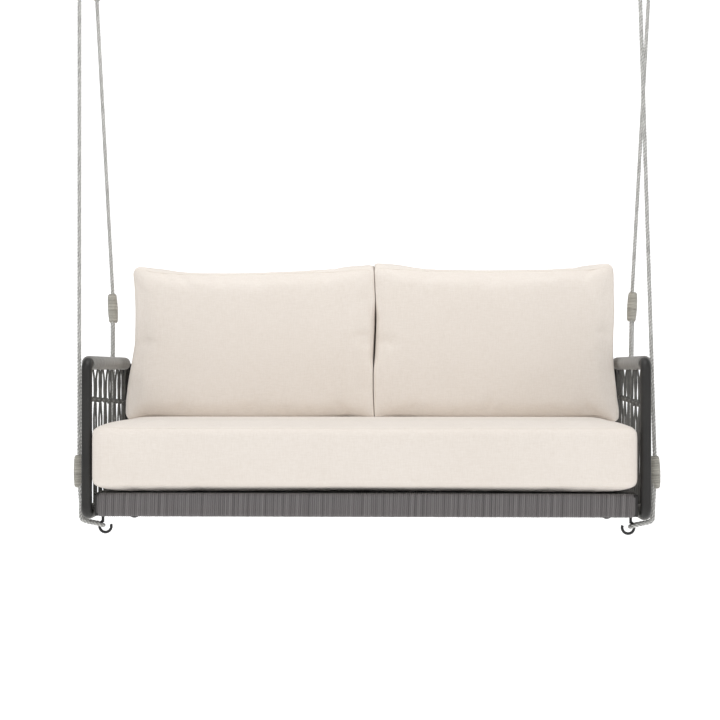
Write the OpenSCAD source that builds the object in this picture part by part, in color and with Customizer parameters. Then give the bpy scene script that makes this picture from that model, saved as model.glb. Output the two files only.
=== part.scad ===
// Two-seat hanging porch swing: tubular frame, rope weave, loose cushions, four ropes
// on ceiling hangers. Millimetres, +Z up, -Y is the front. The origin lies on the ceiling,
// midway between the hangers, and everything hangs below it.

/* [Frame] */
// Overall width of the frame across both side loops
frame_w = 1800; // [1700:10:1850]
// Overall height of the side loops
frame_h = 510; // [500:2:520]
// Distance between the front and rear posts, centre to centre
frame_d = 720; // [700:10:740]
// Diameter of the bent frame tube
tube_d = 34; // [32:1:36]
// Centre-line radius of the bends of the side loops
bend_r = 22; // [20:1:24]
// Thickness of the rope binding on the arms and on the lower tubes
bind_t = 5; // [4:0.5:5]

/* [Seat] */
// Height of the seat rails, with their binding
rail_h = 74; // [70:1:76]
// Thickness of the seat rails from front to back, with their binding
rail_t = 36; // [34:1:40]
// Thickness of the seat cushion
cushion_t = 210; // [180:5:215]
// Height of the back cushions
back_cushion_h = 530; // [420:5:530]
// Thickness of the back cushions
back_cushion_t = 210; // [160:5:220]

/* [Weave] */
// Diameter of a weave strand
strand_d = 7; // [5:0.5:8]
// Distance between neighbouring knots
knot_pitch = 88; // [80:1:88]
// Diameter of a knot
knot_d = 15; // [12:1:18]

/* [Hanging] */
// Distance from the ceiling to the top of the arms
drop = 1440; // [1440:1:1440]
// Diameter of the hanging ropes
rope_d = 14; // [12:1:14]
// Diameter of the whippings that bind the ropes back on themselves
whip_d = 36; // [34:1:38]
// Distance of the ropes from the middle of the swing, front to back
rope_y = 280; // [270:5:285]
// Wire diameter of the hooks under the seat
hook_wire = 9; // [8:0.5:10]

/* [Hidden] */

$fn = 64;
tube_r = tube_d / 2;
bound_r = tube_r + bind_t;
fit_gap = 0.1;          // binding to what it is wound on
rail_bind_t = 2;        // thickness of the binding on the seat rails and the back rail
side_x = frame_w / 2 - tube_r;
post_y = frame_d / 2;
arm_z = -drop - tube_r;
low_z = -drop - frame_h + tube_r;
arm_half = post_y - bend_r - 5;

rail_z = low_z - 12;    // underside of the seat rails, with their binding
deck_z = rail_z + rail_h;
rail_y = post_y + 3 - rail_t / 2;
rail_half = side_x - bound_r - 3;
webbing_t = 7;
bearer_h = 25;
bearer_w = 30;
side_rail_w = 27;
side_rail_x = side_x - bound_r - 1 - side_rail_w / 2;
side_rail_len = 2 * rail_y - rail_t;
bolt_y = 150;
bolt_d = 8;

back_rail_d = 36;
back_y = post_y - 8;
back_z = arm_z - 18;
back_knot_z = -1640;
back_pitch = 100;
back_knots = 17;

knot_z = -1583;
knot_slope = 0.035;     // both side weaves are tied the same way round, so one falls where the other rises
side_knots = 8;
strand_in = 8;          // how far the strands lie either side of a tube's middle
strand_splay = 8;
foot_apart = 3.6;       // the strands run side by side below their knot

cushion_gap = 2;
seat_top = deck_z + cushion_gap + cushion_t;
seat_cushion_half = 855;
seat_cushion_front = -384;
seat_cushion_back = 328;
cushion_r = 34;
back_cushion_w = 842;
back_cushion_x = 422;
back_cushion_shift = 14;  // the pair sits a little to the right

hook_x = side_x - 45;   // middle of the hook's bend
hook_z = -1983;
hook_r = 19;
hook_start = 65;        // where the stem meets the bend
hook_sweep = 267;
stem_x = hook_x + hook_r * cos(hook_start);
stem_z = hook_z + hook_r * sin(hook_start);
shank_up = 35;
stem_lap = 4;           // how far the stem runs into the bend

hanger_plate = [80, 60, 6];
hanger_holes = [56, 40];
hanger_hole_r = 3;
staple_r = 16;
staple_wire_r = 5;
staple_z = -44;
top_whip_z = -120;
top_whip_len = 80;
low_whip_len = 104;
rope_sides = 10;

// How far outboard each ceiling hanger stands
front_left_top = 924;
front_right_top = 874;
rear_left_top = 975;
rear_right_top = 988;
// Where the ropes are bound back on themselves above the hooks
front_whip = [923, -1806];
rear_left_whip = [916, -1261];
rear_right_whip = [928, -1257];

// The rope's loop through the hanger, as [forward, height], and its loop on the hook,
// as [outboard, forward, height]
top_loop = [[8, -110], [14, -66], [9, -50], [0, -46], [-9, -50], [-14, -66], [0, -150]];
hook_loop = [
    [914, -8, -1900], [916, -8, -1932], [912, -10, -1960], [880, -13, -1970], [857, -15, -1975],
    [848, -10, -1979], [844, 0, -1980],
    [848, 10, -1979], [857, 15, -1975], [880, 13, -1970], [912, 10, -1960], [918, 8, -1932],
    [920, 8, -1900]
];

// A rope from inside its top whipping, over the hanger, down, round the hook and back up
function rope_route(top_x, whip) = concat(
    [for (p = top_loop) [top_x, p[0], p[1]]],
    [[whip[0], 0, whip[1] + 45], [whip[0] - 3, -8, whip[1] + 10]],
    hook_loop,
    [[whip[0] + 3, 8, whip[1]]]
);

function unit(v) = v / norm(v);
function leg(p, i) = unit(p[i + 1] - p[i]);
function heading(p, i) =
    i == 0 ? leg(p, 0)
    : i == len(p) - 1 ? leg(p, i - 1)
    : unit(leg(p, i - 1) + leg(p, i));
function across(n, t) = unit(n - (n * t) * t);
function sides(p, i = 0, n = [1, 0, 0]) =
    i == len(p) ? []
    : let (next = across(n, heading(p, i))) concat([next], sides(p, i + 1, next));

// The faces that close a stack of rings, n points in each, into one solid
function ring_faces(rings, n) = concat(
    [for (i = [0:rings - 2], k = [0:n - 1])
        let (a = i * n + k, b = i * n + (k + 1) % n)
        each [[a, b + n, b], [a, a + n, b + n]]],
    [[for (k = [0:n - 1]) k], [for (k = [n - 1:-1:0]) (rings - 1) * n + k]]
);

module sweep_tube(p, r) {
    normals = sides(p);
    rings = [for (i = [0:len(p) - 1], k = [0:rope_sides - 1])
        let (t = heading(p, i), n = normals[i], b = cross(t, n), a = 360 * k / rope_sides)
        p[i] + r * (cos(a) * n + sin(a) * b)];
    polyhedron(rings, ring_faces(len(p), rope_sides), convexity = 8);
}

module strand(a, b, d) {
    hull() {
        translate(a)
            sphere(d = d, $fn = 6);
        translate(b)
            sphere(d = d, $fn = 6);
    }
}

// A rounded rectangle built from true circles
module rounded_rect(w, h, r) {
    square([w - 2 * r, h], center = true);
    square([w, h - 2 * r], center = true);
    for (x = [-1, 1], y = [-1, 1])
        translate([x * (w / 2 - r), y * (h / 2 - r)])
            circle(r);
}

module along_x(len) {
    rotate([90, 0, 90])
        linear_extrude(len, center = true)
            children();
}

module along_y(len) {
    rotate([90, 0, 0])
        linear_extrude(len, center = true)
            children();
}

module side_loop(r) {
    top = arm_z - bend_r;
    low = low_z + bend_r;
    for (z = [arm_z, low_z])
        translate([0, 0, z])
            rotate([90, 0, 0])
                cylinder(h = 2 * (post_y - bend_r), r = r, center = true);
    for (y = [-post_y, post_y])
        translate([0, y, low])
            cylinder(h = top - low, r = r);
    for (turn = [[1, top, 0], [-1, top, 90], [-1, low, 180], [1, low, 270]])
        translate([0, turn[0] * (post_y - bend_r), turn[1]])
            rotate([90, 0, 90])
                rotate([0, 0, turn[2]])
                    rotate_extrude(angle = 90)
                        translate([bend_r, 0])
                            circle(r);
}

module side_frame(side) {
    color([0.24, 0.24, 0.23])
        translate([side * side_x, 0, 0])
            difference() {
                side_loop(tube_r);
                for (y = [-bolt_y, bolt_y])
                    translate([-side * bound_r, y, low_z])
                        rotate([0, side * 90, 0])
                            cylinder(h = bound_r + 10, d = bolt_d);
            }
}

module tube_binding(side, z) {
    color([0.47, 0.47, 0.46])
        translate([side * side_x, 0, z])
            difference() {
                rotate([90, 0, 0])
                    cylinder(h = 2 * arm_half, r = bound_r, center = true);
                rotate([90, 0, 0])
                    cylinder(h = 2 * arm_half + 2, r = tube_r + fit_gap, center = true);
                if (z == low_z)
                    for (y = [-bolt_y, bolt_y])
                        translate([-side * (bound_r + 1), y, 0])
                            rotate([0, side * 90, 0])
                                cylinder(h = bound_r, d = bolt_d + 1);
            }
}

// One knot with two strands up to the rail above and two down to the rail below.
// u is along the rails, v is across them.
module knotted_group(up, down, splay) {
    for (s = [-1, 1]) {
        strand([0, 0, 0], [s * splay, s * strand_in, up], strand_d);
        strand([0, 0, 0], [0, s * foot_apart, down], strand_d);
    }
    sphere(d = knot_d, $fn = 12);
}

module side_weave(side) {
    first = -knot_pitch * (side_knots - 1) / 2;
    reach = post_y - tube_r - strand_d / 2 + 1;
    up_to = arm_z - sqrt(pow(bound_r, 2) - pow(strand_in, 2)) - strand_d / 2 + 1;
    down_to = low_z + bound_r + strand_d / 2 - 1;
    color([0.40, 0.40, 0.39])
        translate([side * side_x, 0, 0]) {
            for (k = [0:side_knots - 1]) {
                y = first + k * knot_pitch;
                z = knot_z + side * knot_slope * y;
                translate([0, y, z])
                    rotate([0, 0, 90])
                        knotted_group(up_to - z, down_to - z, strand_splay);
            }
            strand([0, -reach, knot_z - side * knot_slope * reach],
                [0, reach, knot_z + side * knot_slope * reach], strand_d - 1);
        }
}

module rail_core(end) {
    color([0.24, 0.24, 0.23])
        translate([0, end * rail_y, rail_z + rail_h / 2])
            along_x(2 * rail_half)
                rounded_rect(rail_t - 2 * (rail_bind_t + fit_gap), rail_h - 2 * (rail_bind_t + fit_gap), 8);
}

module rail_binding(end) {
    color([0.47, 0.47, 0.46])
        translate([0, end * rail_y, rail_z + rail_h / 2])
            difference() {
                along_x(2 * rail_half)
                    rounded_rect(rail_t, rail_h, 10);
                along_x(2 * rail_half + 2)
                    rounded_rect(rail_t - 2 * rail_bind_t, rail_h - 2 * rail_bind_t, 8);
            }
}

module seat_rail(side) {
    color([0.24, 0.24, 0.23])
        translate([side * side_rail_x, 0, 0])
            difference() {
                translate([0, 0, (rail_z + 3 + deck_z - webbing_t) / 2])
                    along_y(side_rail_len)
                        rounded_rect(side_rail_w, rail_h - webbing_t - 3, 4);
                for (y = [-bolt_y, bolt_y])
                    translate([-side * side_rail_w, y, low_z])
                        rotate([0, side * 90, 0])
                            cylinder(h = 2 * side_rail_w, d = bolt_d + 0.5);
                for (y = [-rope_y, rope_y])
                    translate([side * (stem_x - side_rail_x), y, rail_z])
                        cylinder(h = shank_up + 5, d = hook_wire + 0.4);
            }
}

module seat_bearers() {
    color([0.24, 0.24, 0.23])
        for (x = [-420, 0, 420])
            translate([x, 0, deck_z - webbing_t - bearer_h / 2])
                along_y(side_rail_len)
                    rounded_rect(bearer_w, bearer_h, 4);
}

module seat_webbing() {
    color([0.42, 0.42, 0.41])
        translate([0, 0, deck_z - webbing_t / 2])
            cube([2 * (side_rail_x + side_rail_w / 2), side_rail_len, webbing_t], center = true);
}

module back_rail() {
    color([0.24, 0.24, 0.23])
        translate([0, back_y, back_z])
            rotate([0, 90, 0])
                cylinder(h = 2 * (side_x - tube_r + 8), d = back_rail_d, center = true);
}

module back_rail_binding() {
    half = side_x - bound_r - 2;
    color([0.47, 0.47, 0.46])
        translate([0, back_y, back_z])
            rotate([0, 90, 0])
                difference() {
                    cylinder(h = 2 * half, r = back_rail_d / 2 + rail_bind_t, center = true);
                    cylinder(h = 2 * half + 2, r = back_rail_d / 2 + fit_gap, center = true);
                }
}

module back_weave() {
    first = -back_pitch * (back_knots - 1) / 2;
    rise = sqrt(pow(back_rail_d / 2 + rail_bind_t, 2) - pow(strand_in, 2)) + strand_d / 2 - 1;
    foot = deck_z + strand_d / 2 - 1;
    color([0.40, 0.40, 0.39]) {
        for (k = [0:back_knots - 1])
            translate([first + k * back_pitch, back_y, back_knot_z])
                knotted_group(back_z - rise - back_knot_z, foot - back_knot_z, strand_splay);
        strand([first, back_y, back_knot_z], [-first, back_y, back_knot_z], strand_d - 1);
    }
}

// Socket-head bolts that hold the seat rails to the side loops
module frame_bolts() {
    color([0.55, 0.55, 0.56])
        for (side = [-1, 1], y = [-bolt_y, bolt_y])
            translate([side * (side_rail_x - side_rail_w / 2), y, low_z])
                rotate([0, side * 90, 0]) {
                    cylinder(h = side_rail_w + bound_r + 5, d = bolt_d);
                    translate([0, 0, -8])
                        difference() {
                            cylinder(h = 8, d = 13);
                            translate([0, 0, -1])
                                cylinder(h = 5, d = 7, $fn = 6);
                        }
                }
}

// A block with rounded edges and corners, built up in rings from its underside to its top
module pillow(size, r) {
    steps = 5;
    steepest = 75;
    turn = 90 / steps;
    middle = size / 2 - [r, r, r];
    rings = [for (up = [-1, 1], i = [0:steps], quarter = [0:3], k = [0:steps])
        let (
            rise = up * steepest * (up < 0 ? steps - i : i) / steps,
            a = 90 * quarter + turn * k,
            out = [[1, 1], [-1, 1], [-1, -1], [1, -1]][quarter]
        )
        [
            out[0] * middle[0] + r * cos(rise) * cos(a),
            out[1] * middle[1] + r * cos(rise) * sin(a),
            up * middle[2] + r * sin(rise) / sin(steepest)
        ]];
    polyhedron(rings, ring_faces(2 * (steps + 1), 4 * (steps + 1)));
}

module seat_cushion() {
    color([0.93, 0.89, 0.83])
        translate([0, (seat_cushion_front + seat_cushion_back) / 2, seat_top - cushion_t / 2])
            pillow([2 * seat_cushion_half, seat_cushion_back - seat_cushion_front, cushion_t], cushion_r);
}

module back_cushion(side) {
    color([0.93, 0.89, 0.83])
        translate([
            side * back_cushion_x + back_cushion_shift,
            seat_cushion_back - back_cushion_t / 2,
            seat_top + cushion_gap + back_cushion_h / 2
        ])
            pillow([back_cushion_w, back_cushion_t, back_cushion_h], cushion_r);
}

// An open hook whose tip points inboard, screwed up into a seat rail
module hook(side, end) {
    color([0.15, 0.15, 0.15])
        translate([0, end * rope_y, 0])
            scale([side, 1, 1]) {
                translate([stem_x, 0, stem_z - stem_lap])
                    cylinder(h = rail_z + shank_up - stem_z + stem_lap, d = hook_wire);
                translate([hook_x, 0, hook_z])
                    rotate([90, 0, 0])
                        rotate([0, 0, hook_start - hook_sweep])
                            rotate_extrude(angle = hook_sweep)
                                translate([hook_r, 0])
                                    circle(d = hook_wire);
            }
}

module rope(side, end, top_x, whip) {
    color([0.72, 0.71, 0.68])
        translate([0, end * rope_y, 0])
            sweep_tube([for (p = rope_route(top_x, whip)) [side * p[0], p[1], p[2]]], rope_d / 2);
}

// A barrel of cord wound tightly round both strands
module barrel(len) {
    soft = 6;
    rotate_extrude() {
        square([whip_d / 2 - soft, len / 2]);
        translate([0, -len / 2])
            square([whip_d / 2 - soft, len / 2]);
        translate([0, -len / 2 + soft])
            square([whip_d / 2, len - 2 * soft]);
        for (z = [-1, 1])
            translate([whip_d / 2 - soft, z * (len / 2 - soft)])
                circle(soft);
    }
}

module whipping(side, end, whip, top_x) {
    lean = atan((top_x - whip[0]) / (top_whip_z - whip[1]));
    color([0.70, 0.69, 0.64])
        translate([side * whip[0], end * rope_y, whip[1]])
            rotate([0, side * lean, 0])
                barrel(low_whip_len);
}

module top_whipping(side, end, top_x) {
    color([0.70, 0.69, 0.64])
        translate([side * top_x, end * rope_y, top_whip_z])
            barrel(top_whip_len);
}

// A ceiling plate with a welded staple
module hanger(side, end, top_x) {
    color([0.25, 0.25, 0.25])
        translate([side * top_x, end * rope_y, 0]) {
            difference() {
                translate([0, 0, -hanger_plate[2]])
                    linear_extrude(hanger_plate[2])
                        rounded_rect(hanger_plate[0], hanger_plate[1], 8);
                for (x = [-1, 1], y = [-1, 1])
                    translate([x * hanger_holes[0] / 2, y * hanger_holes[1] / 2, -hanger_plate[2] - 1])
                        cylinder(h = hanger_plate[2] + 2, r = hanger_hole_r);
            }
            for (x = [-1, 1])
                translate([x * staple_r, 0, staple_z])
                    cylinder(h = -staple_z - hanger_plate[2] + 1, r = staple_wire_r);
            translate([0, 0, staple_z])
                rotate([90, 0, 0])
                    rotate([0, 0, 180])
                        rotate_extrude(angle = 180)
                            translate([staple_r, 0])
                                circle(staple_wire_r);
        }
}

side_frame(-1);  // left_side_frame
side_frame(1);  // right_side_frame
tube_binding(-1, arm_z);  // left_arm_binding
tube_binding(1, arm_z);  // right_arm_binding
tube_binding(-1, low_z);  // left_lower_binding
tube_binding(1, low_z);  // right_lower_binding
side_weave(-1);  // left_side_weave
side_weave(1);  // right_side_weave
rail_core(-1);  // front_rail
rail_core(1);  // rear_rail
seat_rail(-1);  // left_seat_rail
seat_rail(1);  // right_seat_rail
seat_bearers();
rail_binding(-1);  // front_rail_binding
rail_binding(1);  // rear_rail_binding
seat_webbing();
back_rail();
back_rail_binding();
back_weave();
frame_bolts();
seat_cushion();
back_cushion(-1);  // left_back_cushion
back_cushion(1);  // right_back_cushion
hook(-1, -1);  // front_left_hook
hook(1, -1);  // front_right_hook
hook(-1, 1);  // rear_left_hook
hook(1, 1);  // rear_right_hook
rope(-1, -1, front_left_top, front_whip);  // front_left_rope
rope(1, -1, front_right_top, front_whip);  // front_right_rope
rope(-1, 1, rear_left_top, rear_left_whip);  // rear_left_rope
rope(1, 1, rear_right_top, rear_right_whip);  // rear_right_rope
whipping(-1, -1, front_whip, front_left_top);  // front_left_whipping
whipping(1, -1, front_whip, front_right_top);  // front_right_whipping
whipping(-1, 1, rear_left_whip, rear_left_top);  // rear_left_whipping
whipping(1, 1, rear_right_whip, rear_right_top);  // rear_right_whipping
top_whipping(-1, -1, front_left_top);  // front_left_top_whipping
top_whipping(1, -1, front_right_top);  // front_right_top_whipping
top_whipping(-1, 1, rear_left_top);  // rear_left_top_whipping
top_whipping(1, 1, rear_right_top);  // rear_right_top_whipping
hanger(-1, -1, front_left_top);  // front_left_hanger
hanger(1, -1, front_right_top);  // front_right_hanger
hanger(-1, 1, rear_left_top);  // rear_left_hanger
hanger(1, 1, rear_right_top);  // rear_right_hanger
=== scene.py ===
import math
import bmesh
import bpy
from mathutils import Matrix, Vector, noise
from mathutils.bvhtree import BVHTree


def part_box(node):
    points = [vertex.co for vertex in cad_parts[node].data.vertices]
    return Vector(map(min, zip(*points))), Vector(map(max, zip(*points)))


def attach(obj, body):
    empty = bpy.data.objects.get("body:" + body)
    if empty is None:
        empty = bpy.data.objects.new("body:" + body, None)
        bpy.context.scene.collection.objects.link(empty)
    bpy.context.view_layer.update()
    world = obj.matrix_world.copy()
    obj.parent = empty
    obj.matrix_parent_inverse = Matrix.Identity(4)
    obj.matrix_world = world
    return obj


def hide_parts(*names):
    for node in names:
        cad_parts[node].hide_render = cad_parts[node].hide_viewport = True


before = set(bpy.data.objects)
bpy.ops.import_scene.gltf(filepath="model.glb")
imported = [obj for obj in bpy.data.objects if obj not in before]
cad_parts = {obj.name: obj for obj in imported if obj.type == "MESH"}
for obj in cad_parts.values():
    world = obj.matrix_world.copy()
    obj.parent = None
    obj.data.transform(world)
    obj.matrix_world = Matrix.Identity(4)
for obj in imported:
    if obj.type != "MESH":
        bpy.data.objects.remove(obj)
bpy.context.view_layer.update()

SIDES = (("left", -1), ("right", 1))
ENDS = (("front", -1), ("rear", 1))

# ---------------------------------------------------------------- camera

camera_data = bpy.data.cameras.new("camera")
camera_data.sensor_width = 36
camera_data.lens = 81.7
camera_data.clip_end = 60
camera = bpy.data.objects.new("camera", camera_data)
camera.location = (0.134, -5.52, -1.480)
camera.rotation_euler = (math.radians(90.35), 0, math.radians(1.66))
bpy.context.scene.collection.objects.link(camera)
bpy.context.scene.camera = camera
bpy.context.view_layer.update()


# ---------------------------------------------------------------- mesh building

def make_object(name, verts, faces, material, lay=None):
    """A mesh object. lay holds, for each corner of each face, how far round and along it is, and its painted
    shade.
    """
    mesh = bpy.data.meshes.new(name)
    mesh.from_pydata([tuple(v) for v in verts], [], faces)
    if lay is not None:
        attribute = mesh.attributes.new("lay", "FLOAT_VECTOR", "CORNER")
        attribute.data.foreach_set("vector", [c for corner in lay for c in corner])
    mesh.materials.append(material)
    mesh.polygons.foreach_set("use_smooth", [True] * len(mesh.polygons))
    mesh.update()
    piece = bpy.data.objects.new(name, mesh)
    bpy.context.scene.collection.objects.link(piece)
    return piece


class Skin:
    """Tubes and other swept surfaces gathered into one mesh."""

    def __init__(self):
        self.verts, self.faces, self.lay = [], [], []

    def rings(self, rings, along, closed=False, shades=None):
        """Joins rings of points. along is each ring's distance, for the cord patterns, and shades says how
        open each point is to the light, from 0 to 1, which the cord paint turns into painted shade."""
        start, sides, count = len(self.verts), len(rings[0]), len(rings)
        for ring in rings:
            self.verts.extend(ring)
        for i in range(count if closed else count - 1):
            j = (i + 1) % count
            v0, v1 = along[i], along[i + 1] if i + 1 < len(along) else along[i] + along[1] - along[0]
            for k in range(sides):
                m = (k + 1) % sides
                self.faces.append((start + i * sides + k, start + i * sides + m,
                                   start + j * sides + m, start + j * sides + k))
                u0, u1 = k / sides, (k + 1) / sides
                a, b, c, d = 1, 1, 1, 1
                if shades:
                    a, b, c, d = shades[i][k], shades[i][m], shades[j][m], shades[j][k]
                self.lay.extend([(u0, v0, a), (u1, v0, b), (u1, v1, c), (u0, v1, d)])
        if not closed:
            for i, order in ((0, range(sides - 1, -1, -1)), (count - 1, range(sides))):
                self.faces.append(tuple(start + i * sides + k for k in order))
                self.lay.extend([(k / sides, along[i], 1) for k in order])

    def tube(self, path, radius, sides=8, closed=False):
        """A round tube along path."""
        frames = transported(path, closed)
        along = distances(path)
        rings = []
        for p, (t, n, b) in zip(path, frames):
            rings.append([p + radius * (math.cos(a) * n + math.sin(a) * b)
                          for a in (2 * math.pi * k / sides for k in range(sides))])
        if closed:
            along = along + [along[-1] + (path[0] - path[-1]).length]
        self.rings(rings, along, closed)

    def piece(self, name, material, body, slot):
        made = make_object(name, self.verts, self.faces, material, self.lay)
        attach(made, body)
        return made


def smoothstep(low, high, value):
    t = max(0.0, min(1.0, (value - low) / (high - low)))
    return t * t * (3 - 2 * t)


def distances(path):
    out = [0.0]
    for a, b in zip(path, path[1:]):
        out.append(out[-1] + (b - a).length)
    return out


def transported(path, closed=False):
    """For each point, its tangent and two normals that don't twist about it."""
    count = len(path)
    tangents = []
    for i in range(count):
        before = path[i - 1] if i or closed else path[0]
        after = path[(i + 1) % count] if i < count - 1 or closed else path[-1]
        tangents.append((after - before).normalized())
    n = tangents[0].orthogonal().normalized()
    out = []
    for t in tangents:
        n = (n - n.dot(t) * t).normalized()
        out.append((t, n, t.cross(n)))
    return out


def smooth_path(points, step):
    """A centripetal Catmull-Rom curve through the points, about step apart."""
    dense = [Vector(points[0])]
    for a, b in zip(points, points[1:]):
        a, b = Vector(a), Vector(b)
        parts = max(1, round((b - a).length / 0.03))
        dense.extend(a.lerp(b, k / parts) for k in range(1, parts + 1))
    p = [2 * dense[0] - dense[1]] + dense + [2 * dense[-1] - dense[-2]]
    out = []
    for p0, p1, p2, p3 in zip(p, p[1:], p[2:], p[3:]):
        t1 = math.sqrt((p1 - p0).length)
        t2 = t1 + math.sqrt((p2 - p1).length)
        t3 = t2 + math.sqrt((p3 - p2).length)
        parts = max(1, round((p2 - p1).length / step))
        for k in range(parts):
            t = t1 + (t2 - t1) * k / parts
            a1 = p0 * ((t1 - t) / t1) + p1 * (t / t1)
            a2 = p1 * ((t2 - t) / (t2 - t1)) + p2 * ((t - t1) / (t2 - t1))
            a3 = p2 * ((t3 - t) / (t3 - t2)) + p3 * ((t - t2) / (t3 - t2))
            b1 = a1 * ((t2 - t) / t2) + a2 * (t / t2)
            b2 = a2 * ((t3 - t) / (t3 - t1)) + a3 * ((t - t1) / (t3 - t1))
            out.append(b1 * ((t2 - t) / (t2 - t1)) + b2 * ((t - t1) / (t2 - t1)))
    out.append(dense[-1].copy())
    return out


# ---------------------------------------------------------------- materials

class Paint:
    """A procedural material being put together round one Principled shader."""

    def __init__(self, name, roughness=0.6, metallic=0.0, sheen=0.0, specular=0.5):
        self.material = bpy.data.materials.new(name)
        self.material.use_nodes = True
        self.tree = self.material.node_tree
        self.tree.nodes.clear()
        out = self.add("ShaderNodeOutputMaterial")
        self.shader = self.add("ShaderNodeBsdfPrincipled")
        self.shader.inputs["Roughness"].default_value = roughness
        self.shader.inputs["Metallic"].default_value = metallic
        self.shader.inputs["Sheen Weight"].default_value = sheen
        self.shader.inputs["Sheen Roughness"].default_value = 0.6
        self.shader.inputs["Specular IOR Level"].default_value = specular
        self.link(self.shader.outputs[0], out.inputs["Surface"])
        self.place = self.add("ShaderNodeTexCoord").outputs["Object"]

    def add(self, kind, **settings):
        node = self.tree.nodes.new(kind)
        for key, value in settings.items():
            setattr(node, key, value)
        return node

    def link(self, a, b):
        self.tree.links.new(a, b)

    def put(self, socket, value):
        if isinstance(value, bpy.types.NodeSocket):
            self.link(value, socket)
        else:
            socket.default_value = value

    def math(self, operation, a, b=0.0, c=0.0):
        node = self.add("ShaderNodeMath", operation=operation)
        for socket, value in zip(node.inputs, (a, b, c)):
            self.put(socket, value)
        return node.outputs[0]

    def noise(self, scale, detail=3.0, roughness=0.55, stretch=None):
        node = self.add("ShaderNodeTexNoise")
        where = self.place
        if stretch:
            mapping = self.add("ShaderNodeMapping")
            mapping.inputs["Scale"].default_value = stretch
            self.link(self.place, mapping.inputs["Vector"])
            where = mapping.outputs[0]
        self.link(where, node.inputs["Vector"])
        node.inputs["Scale"].default_value = scale
        node.inputs["Detail"].default_value = detail
        node.inputs["Roughness"].default_value = roughness
        return node.outputs["Fac"]

    def wave(self, u, times_u, v, pitch_v):
        """sin of times_u turns round plus one turn for each pitch_v along."""
        turns = self.math("ADD", self.math("MULTIPLY", u, times_u), self.math("MULTIPLY", v, 1 / pitch_v))
        return self.math("SINE", self.math("MULTIPLY", turns, 2 * math.pi))

    def lay(self):
        node = self.add("ShaderNodeSeparateXYZ")
        self.link(self.add("ShaderNodeAttribute", attribute_name="lay").outputs["Vector"], node.inputs[0])
        return node.outputs[0], node.outputs[1], node.outputs[2]

    def blend(self, factor, dark, light):
        node = self.add("ShaderNodeMix", data_type="RGBA")
        self.put(node.inputs["Factor"], factor)
        self.put(node.inputs["A"], dark if isinstance(dark, bpy.types.NodeSocket) else (*dark, 1))
        self.put(node.inputs["B"], light if isinstance(light, bpy.types.NodeSocket) else (*light, 1))
        return node.outputs["Result"]

    def ramp(self, value, low, high):
        node = self.add("ShaderNodeMapRange")
        self.link(value, node.inputs["Value"])
        node.inputs["From Min"].default_value = low
        node.inputs["From Max"].default_value = high
        return node.outputs["Result"]

    def finish(self, colour, height, strength, distance, roughness=None):
        self.put(self.shader.inputs["Base Color"], colour)
        bump = self.add("ShaderNodeBump")
        bump.inputs["Strength"].default_value = strength
        bump.inputs["Distance"].default_value = distance
        self.link(height, bump.inputs["Height"])
        self.link(bump.outputs[0], self.shader.inputs["Normal"])
        if roughness is not None:
            self.link(roughness, self.shader.inputs["Roughness"])
        return self.material


def linear(r, g, b):
    return tuple((c / 12.92 if c <= 0.04045 else ((c + 0.055) / 1.055) ** 2.4)
                 for c in (r / 255, g / 255, b / 255))


def cord_paint(name, dark, light, twist, pitch, crossed=True, groove=None):
    """Cord whose yarns run round it: crossed for a braid, uncrossed for a laid strand.
    groove is the pitch of the turns where the cord is wound on something, and the colour darkens into the
    groove between turns as painted shade."""
    fuzz = 0.35
    paint = Paint(name, roughness=0.82, sheen=0.15, specular=0.3)
    u, v, shade = paint.lay()
    yarn = paint.wave(u, twist, v, pitch)
    if crossed:
        yarn = paint.math("MULTIPLY", yarn, paint.wave(u, -twist, v, pitch))
    tone = paint.math("MULTIPLY_ADD", yarn, 0.5, 0.5)
    height = tone
    if groove:
        # painted shade: crest falls to 0 in the groove between turns, where the tone is pulled down to the dark
        # colour; crest also shapes the bump
        crest = paint.math("ABSOLUTE", paint.math("SINE", paint.math(
            "MULTIPLY", paint.math("ADD", paint.math("MULTIPLY", v, 1 / groove), u), math.pi)))
        tone = paint.math("MULTIPLY", paint.math("MULTIPLY_ADD", tone, 0.4, 0.6),
                          paint.math("POWER", crest, 0.45))
        height = paint.math("ADD", paint.math("MULTIPLY", tone, 0.6), crest)
        stripes = paint.add("ShaderNodeTexNoise", noise_dimensions="1D")
        paint.link(paint.math("ADD", v, paint.math("MULTIPLY", u, groove)), stripes.inputs["W"])
        stripes.inputs["Scale"].default_value = 0.55 / groove
        stripes.inputs["Detail"].default_value = 2.0
        cloudy = paint.ramp(stripes.outputs["Fac"], 0.32, 0.68)
    else:
        cloudy = paint.ramp(paint.noise(38, 4), 0.3, 0.7)
    fibre = paint.noise(900, 2, stretch=(1, 1, 0.4))
    tone = paint.math("ADD", paint.math("MULTIPLY", tone, 1 - fuzz), paint.math("MULTIPLY", cloudy, fuzz))
    # painted shade: the tone darkens where the cord faces in, in the crevices between a rope's strands
    tone = paint.math("MULTIPLY", tone, paint.math("POWER", shade, 1.4))
    height = paint.math("ADD", height, paint.math("MULTIPLY", fibre, 0.35))
    return paint.finish(paint.blend(tone, dark, light), height, 0.55, 0.0012)


def painted_metal(name, dark, light, roughness):
    """Powder coat: a fine pebbled skin, slightly uneven in tone, duller where it has been handled."""
    paint = Paint(name, specular=0.45)
    cloudy = paint.ramp(paint.noise(9, 5), 0.32, 0.68)
    pebbles = paint.noise(1400, 2)
    scuffs = paint.ramp(paint.noise(55, 6, 0.7, stretch=(1, 0.35, 1)), 0.60, 0.72)
    colour = paint.blend(cloudy, dark, light)
    worn = tuple(min(1, c * 2.2 + 0.02) for c in light)
    colour = paint.blend(paint.math("MULTIPLY", scuffs, 0.22), colour, worn)
    rough = paint.math("ADD", paint.math("MULTIPLY", cloudy, 0.12),
                       paint.math("MULTIPLY_ADD", scuffs, 0.15, roughness))
    return paint.finish(colour, pebbles, 0.22, 0.0004, rough)


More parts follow.
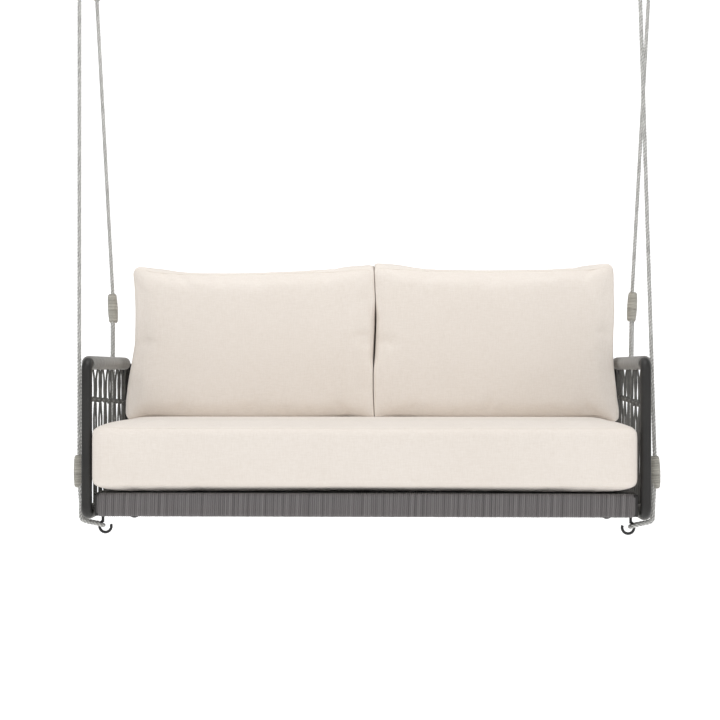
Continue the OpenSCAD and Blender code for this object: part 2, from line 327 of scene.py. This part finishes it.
def bare_steel(name):
    paint = Paint(name, metallic=0.9)
    streaks = paint.noise(400, 4, stretch=(0.1, 1, 1))
    spots = paint.ramp(paint.noise(60, 5), 0.5, 0.75)
    colour = paint.blend(spots, linear(172, 174, 176), linear(128, 126, 122))
    rough = paint.math("MULTIPLY_ADD", streaks, 0.25, 0.22)
    return paint.finish(colour, streaks, 0.15, 0.0003, rough)


def woven_cloth(name, dark, light, thread):
    """Plain-woven cover cloth, projected along whichever axis faces outwards most."""
    paint = Paint(name, roughness=0.9, sheen=0.25, specular=0.2)
    xyz = paint.add("ShaderNodeSeparateXYZ")
    paint.link(paint.place, xyz.inputs[0])
    facing = paint.add("ShaderNodeSeparateXYZ")
    paint.link(paint.add("ShaderNodeNewGeometry").outputs["Normal"], facing.inputs[0])
    drift = paint.math("MULTIPLY", paint.noise(14, 2), 0.006)
    threads = []
    for axis in range(3):
        along = paint.math("ADD", xyz.outputs[axis], drift)
        threads.append(paint.math("SINE", paint.math("MULTIPLY", along, 2 * math.pi / thread)))
    weave = None
    for axis in range(3):
        a, b = [threads[k] for k in range(3) if k != axis]
        share = paint.math("POWER", paint.math("ABSOLUTE", facing.outputs[axis]), 4.0)
        crossing = paint.math("MULTIPLY", paint.math("MULTIPLY", a, b), share)
        weave = crossing if weave is None else paint.math("ADD", weave, crossing)
    slubs = paint.noise(260, 3, 0.6, stretch=(0.16, 1, 1))
    slubs_up = paint.noise(260, 3, 0.6, stretch=(1, 1, 0.16))
    grain = paint.math("MULTIPLY_ADD", paint.math("ADD", slubs, slubs_up), 0.5, -0.5)
    wash = paint.ramp(paint.noise(3.2, 4), 0.3, 0.7)
    tone = paint.math("ADD", paint.math("MULTIPLY_ADD", weave, 0.16, 0.42),
                      paint.math("ADD", paint.math("MULTIPLY", grain, 1.1), paint.math("MULTIPLY", wash, 0.16)))
    height = paint.math("ADD", weave, paint.math("MULTIPLY", grain, 2.2))
    return paint.finish(paint.blend(paint.ramp(tone, 0.0, 1.0), dark, light), height, 0.35, 0.0006)


CHARCOAL = painted_metal("charcoal_powder_coat", linear(27, 26, 25), linear(39, 38, 36), 0.44)
BLACK_STEEL = painted_metal("black_hook_coating", linear(26, 26, 27), linear(38, 38, 39), 0.34)
HANGER_STEEL = painted_metal("hanger_coating", linear(40, 40, 41), linear(56, 56, 57), 0.38)
BOLT_STEEL = bare_steel("bolt_steel")
RAIL_PITCH = 0.0062
WHIP_PITCH = 0.0054
# the wound cords (groove=) get painted shade in the grooves between their turns, down to their dark colour
BINDING = cord_paint("binding_cord", linear(74, 73, 71), linear(164, 162, 158), 22, 0.0045, groove=RAIL_PITCH)
RAIL_BINDING = cord_paint("rail_binding_cord", linear(40, 38, 38), linear(130, 126, 126), 36, 0.0045,
                          groove=RAIL_PITCH)
WEAVE = cord_paint("weave_cord", linear(56, 56, 54), linear(118, 117, 113), 4, 0.0075)
# the rope's dark colour stands both for the yarns' own tone and for painted shade between its strands
ROPE = cord_paint("rope_strands", linear(118, 117, 113), linear(238, 238, 235), 4, 0.009, crossed=False)
WHIPPING = cord_paint("whipping_cord", linear(92, 89, 82), linear(206, 203, 193), 18, 0.0040,
                      groove=WHIP_PITCH)
CLOTH = woven_cloth("cushion_cloth", linear(222, 212, 201), linear(243, 236, 229), 0.0021)
SEAM = woven_cloth("cushion_seam", linear(216, 205, 192), linear(240, 232, 223), 0.0012)

# ---------------------------------------------------------------- ropes

ROPE_D = 0.014
ROPE_Y = 0.280
STRANDS = 3
TWIST_LENGTH = 0.034
TOP_WHIP_Z = -0.120
TOP_X = {"front_left": 0.924, "front_right": 0.874, "rear_left": 0.975, "rear_right": 0.988}
LOW_WHIP = {"front_left": (0.923, -1.806), "front_right": (0.923, -1.806),
            "rear_left": (0.916, -1.261), "rear_right": (0.928, -1.257)}
TOP_LOOP = ((0.008, -0.110), (0.014, -0.066), (0.009, -0.050), (0.0, -0.046),
            (-0.009, -0.050), (-0.014, -0.066), (0.0, -0.150))
HOOK_LOOP = (
    (0.914, -0.008, -1.900), (0.916, -0.008, -1.932), (0.912, -0.010, -1.960), (0.880, -0.013, -1.970),
    (0.857, -0.015, -1.975), (0.848, -0.010, -1.979), (0.844, 0.0, -1.980), (0.848, 0.010, -1.979),
    (0.857, 0.015, -1.975), (0.880, 0.013, -1.970), (0.912, 0.010, -1.960), (0.918, 0.008, -1.932),
    (0.920, 0.008, -1.900))


def rope_route(end, side, side_sign, end_sign):
    top_x = TOP_X[f"{end}_{side}"]
    whip_x, whip_z = LOW_WHIP[f"{end}_{side}"]
    route = [(top_x, y, z) for y, z in TOP_LOOP]
    route += [(whip_x, 0.0, whip_z + 0.045), (whip_x - 0.003, -0.008, whip_z + 0.010)]
    route += HOOK_LOOP
    route.append((whip_x + 0.003, 0.008, whip_z))
    return [(side_sign * x, end_sign * ROPE_Y + y, z) for x, y, z in route]


def twisted_rope(name, path, body):
    """Three laid strands that turn about the route."""
    skin = Skin()
    frames = transported(path)
    along = distances(path)
    strand_r = 0.0037
    lay_r = ROPE_D / 2 - strand_r
    sides = 10
    for strand in range(STRANDS):
        out = []
        for (t, n, b), s in zip(frames, along):
            turn = 2 * math.pi * (s / TWIST_LENGTH + strand / STRANDS)
            out.append(math.cos(turn) * n + math.sin(turn) * b)
        line = [p + lay_r * o for p, o in zip(path, out)]
        rings, shades = [], []
        for p, (t, n, b), o in zip(line, transported(line), out):
            ring = [math.cos(a) * n + math.sin(a) * b for a in (2 * math.pi * k / sides for k in range(sides))]
            rings.append([p + strand_r * d for d in ring])
            # painted shade: how far each point faces out from the rope's core, so the strands darken where they
            # meet
            shades.append([smoothstep(-0.35, 0.85, d.dot(o)) for d in ring])
        skin.rings(rings, distances(line), shades=shades)
    return skin.piece(name, ROPE, body, "rope")


def wound_barrel(name, centre, lean, length, top_r, body):
    """A tight whipping: turns of cord over the rope, fullest at the middle and drawn in at both ends."""
    skin = Skin()
    steps = round(length / WHIP_PITCH * 7)
    sides = 32
    rings, along = [], []
    turned = Matrix.Rotation(lean, 3, "Y")
    for i in range(steps + 1):
        z = length * (i / steps - 0.5)
        share = abs(z) / (length / 2)
        body_r = top_r - 0.0016 - 0.0028 * share ** 2.2 - 0.0042 * max(0.0, (share - 0.86) / 0.14) ** 2
        ring = []
        for k in range(sides):
            a = 2 * math.pi * k / sides
            crest = abs(math.sin(math.pi * (z / WHIP_PITCH + k / sides)))
            uneven = 0.0005 * noise.noise(Vector((z * 160, math.cos(a) * 1.4, math.sin(a) * 1.4)))
            r = body_r + 0.0017 * crest ** 0.65 + uneven
            ring.append(centre + turned @ Vector((r * math.cos(a), r * math.sin(a), z)))
        rings.append(ring)
        along.append(z)
    skin.rings(rings, along)
    return skin.piece(name, WHIPPING, body, "whipping_cord")


for end, end_sign in ENDS:
    for side, side_sign in SIDES:
        corner = f"{end}_{side}"
        body = f"{end}_ropes"
        route = rope_route(end, side, side_sign, end_sign)
        path = smooth_path(route, 0.0045)
        rope = twisted_rope(f"{corner}_twisted_rope", path, body)
        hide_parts(f"{corner}_rope")
        whip_x, whip_z = LOW_WHIP[corner]
        lean = side_sign * math.atan((TOP_X[corner] - whip_x) / (TOP_WHIP_Z - whip_z))
        low = wound_barrel(f"{corner}_wound_whipping", Vector((side_sign * whip_x, end_sign * ROPE_Y, whip_z)),
                           lean, 0.104, 0.018, body)
        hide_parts(f"{corner}_whipping")
        top = wound_barrel(f"{corner}_wound_top_whipping",
                           Vector((side_sign * TOP_X[corner], end_sign * ROPE_Y, TOP_WHIP_Z)),
                           0.0, 0.080, 0.018, body)
        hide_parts(f"{corner}_top_whipping")
        tuple(path[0])
        distances(path)[-1]
        [tuple(p) for p in path]

# ---------------------------------------------------------------- frame

BODY = "seat"
for node in ("left_side_frame", "right_side_frame", "front_rail", "rear_rail", "left_seat_rail",
             "right_seat_rail", "seat_bearers", "back_rail"):
    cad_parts[node].material_slots[0].material = CHARCOAL
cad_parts["frame_bolts"].material_slots[0].material = BOLT_STEEL
for end, _ in ENDS:
    for side, _ in SIDES:
        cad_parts[f"{end}_{side}_hook"].material_slots[0].material = BLACK_STEEL
        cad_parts[f"{end}_{side}_hanger"].material_slots[0].material = HANGER_STEEL


def wound_tube(name, node, axis, seed):
    """Cord wound closely round a straight tube, as long and as thick as the CAD binding."""
    low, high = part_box(node)
    centre = (low + high) / 2
    length = high[axis] - low[axis]
    outer = (high.z - low.z) / 2 + 0.0004
    turns = round(length / RAIL_PITCH)
    pitch = length / turns
    steps = turns * 5
    sides = 24
    skin = Skin()
    rings, along = [], []
    for i in range(steps + 1):
        s = length * (i / steps - 0.5)
        end_drop = 0.0016 * max(0.0, 1 - (length / 2 - abs(s)) / 0.004)
        ring = []
        for k in range(sides):
            a = 2 * math.pi * k / sides
            crest = abs(math.sin(math.pi * (s / pitch + k / sides)))
            uneven = 0.0004 * noise.noise(Vector((s * 130 + seed, math.cos(a), math.sin(a))))
            r = outer - 0.0014 + 0.0014 * crest ** 0.7 + uneven - end_drop
            offset = Vector((s, r * math.cos(a), r * math.sin(a)))
            if axis == 1:
                offset = Vector((r * math.cos(a), s, r * math.sin(a)))
            ring.append(centre + offset)
        rings.append(ring)
        along.append(s)
    skin.rings(rings, along)
    piece = skin.piece(name, BINDING, BODY, "binding_cord")
    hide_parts(node)


wound_tube("left_arm_winding", "left_arm_binding", 1, 1.0)
wound_tube("right_arm_winding", "right_arm_binding", 1, 5.0)
wound_tube("left_lower_winding", "left_lower_binding", 1, 9.0)
wound_tube("right_lower_winding", "right_lower_binding", 1, 13.0)
wound_tube("back_rail_winding", "back_rail_binding", 0, 17.0)


def rounded_section(width, height, radius, count):
    """Evenly spaced points round a rounded rectangle, with their outward directions."""
    flat_w, flat_h, arc = width - 2 * radius, height - 2 * radius, math.pi * radius / 2
    runs = ((flat_h, 1, 0), (flat_w, 0, 1), (flat_h, -1, 0), (flat_w, 0, -1))
    total = 2 * (flat_w + flat_h) + 4 * arc
    out = []
    for k in range(count):
        s = total * k / count
        for flat, nx, ny in runs:
            along = Vector((-ny, nx))
            start = Vector((nx * width / 2, ny * height / 2)) - along * flat / 2
            if s < flat:
                out.append((start + along * s, Vector((nx, ny))))
                break
            s -= flat
            if s < arc:
                a = s / radius
                normal = Vector((nx, ny)) * math.cos(a) + along * math.sin(a)
                centre = start + along * flat - Vector((nx, ny)) * radius
                out.append((centre + normal * radius, normal))
                break
            s -= arc
    return out


def wound_rail(name, node, seed):
    """The seat cords wound over a flat rail, side by side."""
    low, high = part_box(node)
    centre = (low + high) / 2
    length = high.x - low.x
    turns = round(length / RAIL_PITCH)
    pitch = length / turns
    steps = turns * 5
    section = rounded_section(high.y - low.y, high.z - low.z, 0.010, 36)
    skin = Skin()
    rings, along = [], []
    for i in range(steps + 1):
        s = length * (i / steps - 0.5)
        end_drop = 0.0016 * max(0.0, 1 - (length / 2 - abs(s)) / 0.004)
        ring = []
        for k, (point, out) in enumerate(section):
            crest = abs(math.sin(math.pi * (s / pitch + k / len(section))))
            uneven = 0.0006 * noise.noise(Vector((s * 120 + seed, out.x, out.y)))
            p = point + out * (0.0004 - 0.0015 + 0.0015 * crest ** 0.7 + uneven - end_drop)
            near_end = max(0.0, 1 - (length / 2 - abs(s)) / 0.024) ** 2
            ring.append(centre + Vector((s, p.x * (1 - 0.25 * near_end), p.y * (1 - 0.22 * near_end))))
        rings.append(ring)
        along.append(s)
    skin.rings(rings, along)
    piece = skin.piece(name, RAIL_BINDING, BODY, "binding_cord")
    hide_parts(node)


wound_rail("front_rail_winding", "front_rail_binding", 21.0)
wound_rail("rear_rail_winding", "rear_rail_binding", 25.0)

# ---------------------------------------------------------------- weave

SIDE_X = 0.883
ARM_Z = -1.457
LOW_Z = -1.933
POST_Y = 0.360
KNOT_Z = -1.583
KNOT_SLOPE = 0.035
KNOT_PITCH = 0.088
SIDE_KNOTS = 8
STRAND_R = 0.0034
BOUND_R = 0.0220
BACK_Y = 0.352
BACK_Z = -1.475
BACK_KNOT_Z = -1.640
BACK_PITCH = 0.100
BACK_KNOTS = 17
DECK_Z = -1.871
SPLAY = 0.008


def pair(place, top, knot_z, foot, spread, seed):
    """Two strands that leave a rail together or apart, close up above the knot, and run on side by side
    below it. place turns (across, along, height) into a point."""
    lines = []
    for s in (-1, 1):
        meet = knot_z + (top - knot_z) * (0.62 + 0.05 * math.sin(seed * 1.9))
        sway = 0.0010 * math.sin(seed * 1.7 + s)
        lines.append([
            place(s * spread * 0.9, s * spread * 0.6, top),
            place(s * spread * 0.55, s * spread * 0.5, (top + meet) / 2),
            place(s * 0.0030, s * 0.0022, meet), place(s * 0.0026 + sway, s * 0.0024, (meet + knot_z) / 2),
            place(s * 0.0018, s * 0.0026, knot_z + 0.010), place(0.0, s * 0.0022, knot_z),
            place(s * 0.0012, s * 0.0030, knot_z - 0.014), place(s * 0.0032 - sway, s * 0.0022, knot_z - 0.060),
            place(s * 0.0034, sway, (knot_z - 0.060 + foot) / 2), place(s * 0.0032, s * 0.0016, foot)])
    return [smooth_path(line, 0.009) for line in lines]


def knot(skin, place, z, seed):
    """A hitch: turns of the cord round the strands, tilted a little, with a crossing turn."""
    tilt = 0.25 * math.sin(seed * 2.3)
    turns, radius = 2.6, 0.0068
    coil = []
    for k in range(40):
        share = k / 39
        a = 2 * math.pi * turns * share + seed
        coil.append(place(radius * math.cos(a), radius * math.sin(a) * 1.15,
                          z + 0.013 * (share - 0.5) + tilt * radius * math.cos(a)))
    skin.tube(coil, 0.0033, sides=8)
    crossing = []
    for k in range(16):
        share = k / 15
        a = math.pi * (share * 1.3 - 0.15) + seed * 0.7
        crossing.append(place(0.0090 * math.cos(a), 0.0090 * math.sin(a), z + 0.010 * (0.5 - share)))
    skin.tube(crossing, 0.0024, sides=8)


def side_panel(side, side_sign):
    skin = Skin()
    first = -KNOT_PITCH * (SIDE_KNOTS - 1) / 2
    row = []
    for k in range(SIDE_KNOTS):
        y = first + k * KNOT_PITCH
        z = KNOT_Z + side_sign * KNOT_SLOPE * y

        def place(across, along, height):
            return Vector((side_sign * SIDE_X + across, y + along, height))

        spread = SPLAY if k % 2 else 0.0042
        for line in pair(place, ARM_Z - BOUND_R + 0.003, z, LOW_Z + BOUND_R - 0.002, spread, k):
            skin.tube(line, STRAND_R, sides=10)
        knot(skin, place, z, k * 1.1 + side_sign)
        row.append(Vector((side_sign * SIDE_X, y, z)))
    reach = POST_Y - 0.0175
    ends = [Vector((side_sign * SIDE_X, e * reach, KNOT_Z + side_sign * KNOT_SLOPE * e * reach))
            for e in (-1, 1)]
    line = [ends[0]]
    for a, b in zip([ends[0]] + row, row + [ends[1]]):
        line.append((a + b) / 2 - Vector((0, 0, 0.0015)))
        line.append(b)
    skin.tube(smooth_path(line, 0.008), STRAND_R, sides=10)
    piece = skin.piece(f"{side}_side_cords", WEAVE, BODY, "weave_cord")
    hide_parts(f"{side}_side_weave")


def back_panel():
    skin = Skin()
    first = -BACK_PITCH * (BACK_KNOTS - 1) / 2
    row = []
    for k in range(BACK_KNOTS):
        x = first + k * BACK_PITCH

        def place(across, along, height):
            return Vector((x + along, BACK_Y + across, height))

        spread = SPLAY if k % 2 else 0.0042
        for line in pair(place, BACK_Z - 0.0170, BACK_KNOT_Z, DECK_Z - 0.002, spread, k):
            skin.tube(line, STRAND_R, sides=10)
        knot(skin, place, BACK_KNOT_Z, k * 1.3)
        row.append(Vector((x, BACK_Y, BACK_KNOT_Z)))
    line = [row[0]]
    for a, b in zip(row, row[1:]):
        line.append((a + b) / 2 - Vector((0, 0, 0.0015)))
        line.append(b)
    skin.tube(smooth_path(line, 0.008), STRAND_R, sides=10)
    piece = skin.piece("back_cords", WEAVE, BODY, "weave_cord")
    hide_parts("back_weave")


def seat_deck():
    """The seat's cords, front rail to rear rail, side by side, with three rows of cross lacing."""
    low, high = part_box("seat_webbing")
    width = high.x - low.x
    cords = round(width / RAIL_PITCH)
    pitch = width / cords
    cord_r = 0.0030
    skin = Skin()
    for k in range(cords):
        x = low.x + pitch * (k + 0.5)
        sag = 0.0004 * math.sin(k * 2.1)
        line = [Vector((x, low.y + (high.y - low.y) * j / 6, high.z - cord_r - 0.0006 + sag)) for j in range(7)]
        skin.tube(line, cord_r, sides=6)
    for row in (-0.22, 0.0, 0.22):
        line = []
        for k in range(cords + 1):
            x = low.x + pitch * k
            line.append(Vector((x, row, high.z - 0.0034 + 0.0012 * (-1) ** k)))
        skin.tube(line, 0.0022, sides=6)
    piece = skin.piece("seat_cords", WEAVE, BODY, "weave_cord")
    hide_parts("seat_webbing")


for side, side_sign in SIDES:
    side_panel(side, side_sign)
back_panel()
seat_deck()

# ---------------------------------------------------------------- cushions


def box_start(name, low, high, radius, voxel):
    """A rounded block, remeshed evenly, for the cloth to start from."""
    mesh = bpy.data.meshes.new(name)
    bm = bmesh.new()
    bmesh.ops.create_cube(bm, size=1.0)
    centre, size = (low + high) / 2, high - low
    for v in bm.verts:
        v.co = Vector((centre[k] + v.co[k] * size[k] for k in range(3)))
    bmesh.ops.bevel(bm, geom=list(bm.edges), offset=radius, segments=4, profile=0.5, affect="EDGES")
    bm.to_mesh(mesh)
    bm.free()
    piece = bpy.data.objects.new(name, mesh)
    bpy.context.scene.collection.objects.link(piece)
    remesh = piece.modifiers.new("remesh", "REMESH")
    remesh.mode = "VOXEL"
    remesh.voxel_size = voxel
    apply_modifiers(piece)
    return piece


def apply_modifiers(piece):
    bpy.context.view_layer.update()
    graph = bpy.context.evaluated_depsgraph_get()
    mesh = bpy.data.meshes.new_from_object(piece.evaluated_get(graph), depsgraph=graph)
    old = piece.data
    piece.modifiers.clear()
    piece.data = mesh
    bpy.data.meshes.remove(old)


def inflate(piece, cap, pressure, share):
    """Swells the cover with Blender's cloth. No point moves further than about cap. share is how much of
    the movement is kept along each axis."""
    start = [v.co.copy() for v in piece.data.vertices]
    cloth = piece.modifiers.new("cloth", "CLOTH")
    settings = cloth.settings
    settings.quality = 5
    settings.mass = 0.3
    settings.use_pressure = True
    settings.uniform_pressure_force = pressure
    settings.tension_stiffness = 18
    settings.compression_stiffness = 18
    settings.shear_stiffness = 6
    settings.bending_stiffness = 0.8
    settings.effector_weights.gravity = 0
    cloth.collision_settings.use_self_collision = False
    scene = bpy.context.scene
    for number in range(1, 21):
        scene.frame_set(number)
    graph = bpy.context.evaluated_depsgraph_get()
    moved = [v.co.copy() for v in piece.evaluated_get(graph).data.vertices]
    piece.modifiers.clear()
    scene.frame_set(1)
    for v, a, b in zip(piece.data.vertices, start, moved):
        d = b - a
        far = d.length
        kept = d * (cap * math.tanh(far / cap) / far if far > 1e-7 else 1.0)
        v.co = a + Vector((kept[k] * share[k] for k in range(3)))


def spread_to(piece, low, high):
    """Brings the piece's box to low and high, since the cloth draws in as it fills."""
    co = [v.co for v in piece.data.vertices]
    a = [min(c[k] for c in co) for k in range(3)]
    b = [max(c[k] for c in co) for k in range(3)]
    for v in piece.data.vertices:
        v.co = Vector((low[k] + (v.co[k] - a[k]) * (high[k] - low[k]) / (b[k] - a[k]) for k in range(3)))


def settle(piece, floor, top):
    """Lets the piece's lower half sink until its underside meets floor(x), all along its width."""
    low = min(v.co.x for v in piece.data.vertices)
    high = max(v.co.x for v in piece.data.vertices)
    bins = 48
    under = [1e9] * bins

    def column(x):
        return max(0, min(bins - 1, int((x - low) / (high - low) * bins)))

    for v in piece.data.vertices:
        k = column(v.co.x)
        under[k] = min(under[k], v.co.z)
    drop = [floor(low + (high - low) * (k + 0.5) / bins) - z for k, z in enumerate(under)]
    for _ in range(6):
        drop = [(a + 2 * b + c) / 4 for a, b, c in zip(drop[:1] + drop[:-1], drop, drop[1:] + drop[-1:])]
    for v in piece.data.vertices:
        spot = (v.co.x - low) / (high - low) * bins - 0.5
        k = max(0, min(bins - 2, int(spot)))
        share = max(0.0, min(1.0, spot - k))
        fall = drop[k] * (1 - share) + drop[k + 1] * share
        v.co.z += fall * (1 - smoothstep(under[k], top, v.co.z))


def subdivide(piece):
    piece.modifiers.new("smooth", "SUBSURF").levels = 1
    apply_modifiers(piece)
    piece.data.polygons.foreach_set("use_smooth", [True] * len(piece.data.polygons))


def surface(piece):
    return BVHTree.FromPolygons([v.co for v in piece.data.vertices],
                                [tuple(p.vertices) for p in piece.data.polygons])


def seam_loop(skin, tree, corners, radius, thickness, samples):
    """A sewn seam: a fine raised line round a panel, laid on the cover where its ideal edge is nearest."""
    ideal = []
    for a, b, c in zip(corners[-1:] + corners[:-1], corners, corners[1:] + corners[:1]):
        before, after = (a - b).normalized(), (c - b).normalized()
        start, finish = b + before * radius, b + after * radius
        for k in range(7):
            t = k / 6
            ideal.append(start * (1 - t) ** 2 + b * 2 * t * (1 - t) + finish * t ** 2)
    dense = []
    for a, b in zip(ideal, ideal[1:] + ideal[:1]):
        parts = max(1, round((b - a).length / samples))
        dense.extend(a.lerp(b, k / parts) for k in range(parts))
    points = []
    for p in dense:
        point, normal, _, _ = tree.find_nearest(p)
        points.append(point - normal * thickness * 0.35)
    for _ in range(4):
        previous, following = points[-1:] + points[:-1], points[1:] + points[:1]
        points = [(a + b * 2 + c) / 4 for a, b, c in zip(previous, points, following)]
    skin.tube(points, thickness, sides=8, closed=True)


def panel(low, high, axis, value):
    """The four corners of the block's face across axis, at value on that axis."""
    a, b = [k for k in range(3) if k != axis]
    out = []
    for sa, sb in ((0, 0), (1, 0), (1, 1), (0, 1)):
        p = Vector((0.0, 0.0, 0.0))
        p[axis] = value
        p[a] = (low[a], high[a])[sa]
        p[b] = (low[b], high[b])[sb]
        out.append(p)
    return out


def cushion(name, node, voxel, cap, share, low, high, fit, floor=None):
    """One filled cushion. It starts a little smaller than the CAD block, and ends between low and high."""
    a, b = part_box(node)
    a, b = a + Vector((0.004, 0.008, 0.004)), b - Vector((0.004, 0.008, 0.004))
    piece = box_start(name, a, b, 0.022, voxel)
    inflate(piece, cap, 4.0, share)
    spread_to(piece, low, high)
    if floor:
        settle(piece, floor, (low.z + high.z) / 2)
    for v in piece.data.vertices:
        v.co = fit(v.co)
    subdivide(piece)
    piece.data.materials.clear()
    piece.data.materials.append(CLOTH)
    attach(piece, BODY)
    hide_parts(node)
    return piece, low, high


SEAT_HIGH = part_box("seat_cushion")[1]
BACK_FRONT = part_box("left_back_cushion")[0].y
PAIR_X = 0.020      # where the back cushions meet
BACK_LIMIT = 0.331   # the back cushions' rear faces stop short of the back weave


def fit_seat(p):
    """Flat on the webbing, crowned on top, and pressed down under the back cushions."""
    p = p.copy()
    p.z = max(p.z, DECK_Z + 0.0015)
    pressed = SEAT_HIGH.z + 0.002
    if p.z > pressed:
        p.z = pressed + (p.z - pressed) * (1 - smoothstep(BACK_FRONT - 0.01, BACK_FRONT + 0.07, p.y))
    p.y = min(p.y, 0.334)
    limit = 0.8650
    if abs(p.x) > limit:
        p.x = math.copysign(limit + 0.2 * (abs(p.x) - limit), p.x)
    return p


seat, seat_a, seat_b = cushion(
    "seat_pad", "seat_cushion", 0.013, 0.026, (0.45, 0.8, 0.8),
    Vector((-0.866, -0.392, DECK_Z + 0.0015)), Vector((0.857, 0.330, -1.6405)), fit_seat)
SEAT_TREE = surface(seat)


def fit_back(side_sign):
    """Pressed against its neighbour along a wavering line, open only in a slit halfway up and in a notch at
    the top. The outer side leans in towards the top, and the top edge sags between its corners."""
    outer_lean = 0.021 if side_sign > 0 else 0.030
    sag_skew = 0.8 if side_sign > 0 else 1.4

    def fit(p):
        p = p.copy()
        p.y = min(p.y, BACK_LIMIT)
        inward = side_sign * (p.x - PAIR_X)
        slit = smoothstep(-1.49, -1.43, p.z) * (1 - smoothstep(-1.31, -1.24, p.z))
        slit = max(slit, 1.8 * smoothstep(-1.150, -1.118, p.z))
        meet = PAIR_X + 0.004 * math.sin(13 * (p.z + 1.40))
        pinch = 0.84 - 0.24 * slit
        pinch += (0.98 - pinch) * smoothstep(0.16, 0.24, p.y)
        closing = 1 - pinch * (1 - smoothstep(0.030, 0.075, inward))
        lean = 1 - outer_lean * smoothstep(-1.63, -1.37, p.z)
        p.x = meet + side_sign * max(0.0006, inward * closing * lean)
        filled = max(0.0, 1 - slit) * (1 - smoothstep(0.018, 0.070, inward)) * (1 - smoothstep(0.15, 0.19, p.y))
        p.y += 0.8 * filled * min(0.0, BACK_FRONT + 0.002 - p.y)
        squared = smoothstep(0.78, 0.83, inward) * (1 - smoothstep(0.16, 0.20, p.y))
        p.y += 0.4 * squared * min(0.0, BACK_FRONT + 0.006 - p.y)
        across = max(0.0, min(1.0, inward / 0.84))
        sag = 0.012 * math.sin(math.pi * across ** sag_skew) - 0.007 * (1 - across)
        p.z -= sag * smoothstep(-1.42, -1.12, p.z)
        hit = SEAT_TREE.ray_cast(Vector((p.x, p.y, -1.2)), Vector((0, 0, -1)))
        if hit[0] is not None:
            p.z = max(p.z, hit[0].z + 0.001)
        return p
    return fit


def seat_height(x):
    hit = SEAT_TREE.ray_cast(Vector((x, BACK_FRONT + 0.02, -1.2)), Vector((0, 0, -1)))
    return hit[0].z - 0.004 if hit[0] is not None else SEAT_HIGH.z


backs = []
for side, side_sign in SIDES:
    low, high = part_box(f"{side}_back_cushion")
    inner = PAIR_X + side_sign * 0.0012
    outer = low.x - 0.019 if side_sign < 0 else high.x + 0.010
    backs.append(cushion(
        f"{side}_back_pad", f"{side}_back_cushion", 0.011, 0.026, (0.45, 0.9, 0.8),
        Vector((min(inner, outer), low.y - 0.006, low.z)),
        Vector((max(inner, outer), BACK_LIMIT, high.z + 0.013 + 0.004 * side_sign)),
        fit_back(side_sign), seat_height))


def seams(name, piece, a, b, axis):
    """The two seam loops of one cushion, on its faces across axis."""
    skin = Skin()
    tree = surface(piece)
    for value in (a[axis], b[axis]):
        seam_loop(skin, tree, panel(a, b, axis, value), 0.040, 0.0013, 0.008)
    skin.piece(name, SEAM, BODY, "cushion_cover")


seams("seat_pad_seams", seat, seat_a, seat_b, 2)
for (side, _), (piece, a, b) in zip(SIDES, backs):
    seams(f"{side}_back_pad_seams", piece, a, b, 1)

# ---------------------------------------------------------------- studio


FLOOR_Z = -3.40


def studio_sweep():
    """A pale floor that curves up into a backdrop."""
    profile = [(-9.0, 0.0), (3.2, 0.0)]
    for k in range(1, 13):
        angle = math.radians(90 * k / 12)
        profile.append((3.2 + 2.0 * math.sin(angle), 2.0 * (1 - math.cos(angle))))
    profile.append((5.2, 7.0))
    verts, faces = [], []
    for y, z in profile:
        for x in (-9.0, 9.0):
            verts.append((x, y, z + FLOOR_Z))
    for i in range(len(profile) - 1):
        faces.append((2 * i, 2 * i + 1, 2 * i + 3, 2 * i + 2))
    paint = Paint("studio_paper", roughness=0.95, specular=0.1)
    tone = paint.ramp(paint.noise(2.0, 3), 0.3, 0.7)
    colour = paint.blend(tone, (0.86, 0.86, 0.86), (0.89, 0.89, 0.89))
    paint.link(colour, paint.shader.inputs["Emission Color"])
    paint.shader.inputs["Emission Strength"].default_value = 0.50
    material = paint.finish(colour, paint.noise(200), 0.05, 0.0005)
    floor = make_object("studio_floor", verts, faces, material)


def area_light(name, place, target, size, power, colour=(1, 1, 1)):
    data = bpy.data.lights.new(name, "AREA")
    data.shape = "DISK"
    data.size = size
    data.energy = power
    data.color = colour
    lamp = bpy.data.objects.new(name, data)
    lamp.location = place
    aim = Vector(target) - Vector(place)
    lamp.rotation_euler = aim.to_track_quat("-Z", "Y").to_euler()
    bpy.context.scene.collection.objects.link(lamp)


studio_sweep()
area_light("key", (-3.6, -8.2, 1.9), (0, 0, -1.5), 3.6, 108, (1.0, 0.99, 0.975))
area_light("fill", (5.0, -7.2, -0.6), (0, 0, -1.5), 4.2, 62, (0.985, 0.99, 1.0))
area_light("overhead", (0.0, -1.2, 1.8), (0, 0, -1.6), 3.0, 58)
world = bpy.data.worlds.new("studio")
world.use_nodes = True
world.node_tree.nodes["Background"].inputs["Color"].default_value = (1.0, 1.0, 1.0, 1.0)
world.node_tree.nodes["Background"].inputs["Strength"].default_value = 0.57
bpy.context.scene.world = world
bpy.context.scene.view_settings.view_transform = "Standard"
